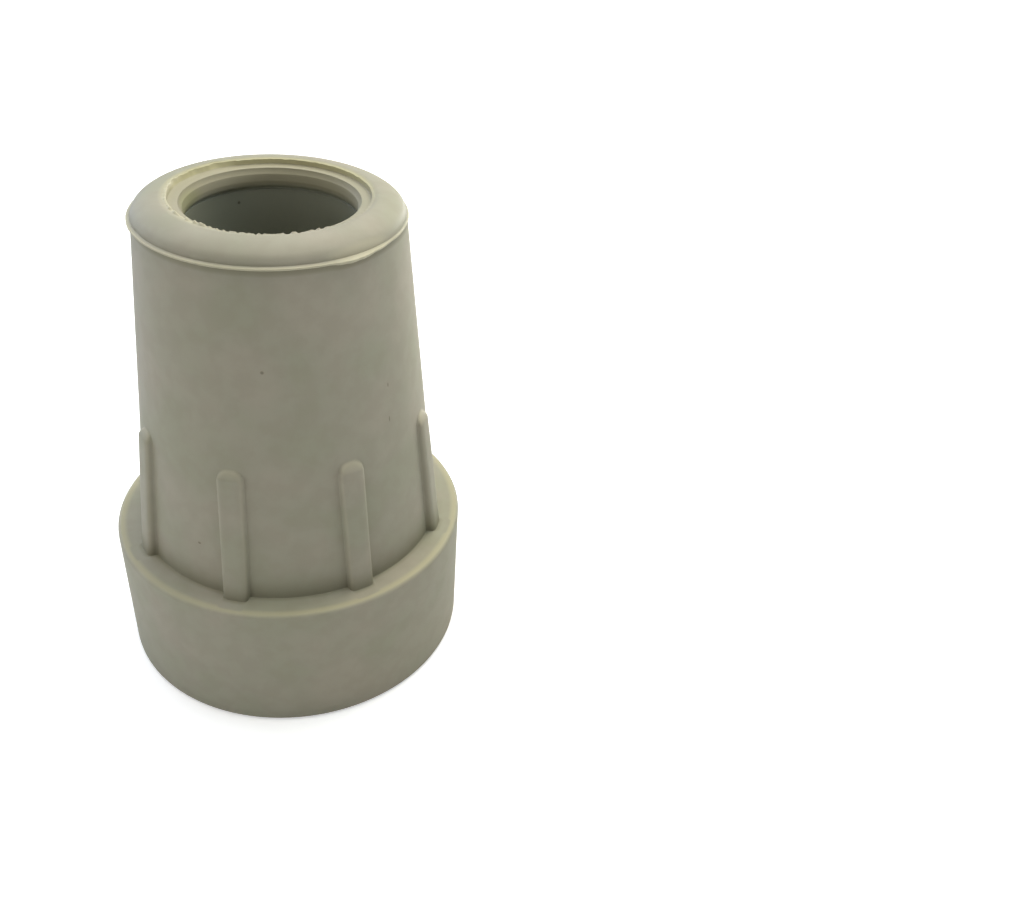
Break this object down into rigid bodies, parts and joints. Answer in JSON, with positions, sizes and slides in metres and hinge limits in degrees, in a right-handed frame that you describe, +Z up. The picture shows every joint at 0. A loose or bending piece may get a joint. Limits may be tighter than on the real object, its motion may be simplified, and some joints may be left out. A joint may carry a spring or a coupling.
{
  "type": "rubber cane tip",
  "caption": "One-piece rubber ferrule for a cane: round base with a grooved sole, tapered body with short ribs, domed lip and a blind socket.",
  "frame": {"origin": "on the axis, at the floor the sole rests on", "axes": "+Z up the axis, out of the socket's mouth; -Y is halfway between two ribs"},
  "size_m": [0.043, 0.043, 0.0592],
  "materials": {
    "rubber": "matte moulded grey-beige rubber, faintly mottled, with moulding flash left on"
  },
  "bodies": {
    "root": {"cane_tip": "rubber"}
  },
  "joints": []
}
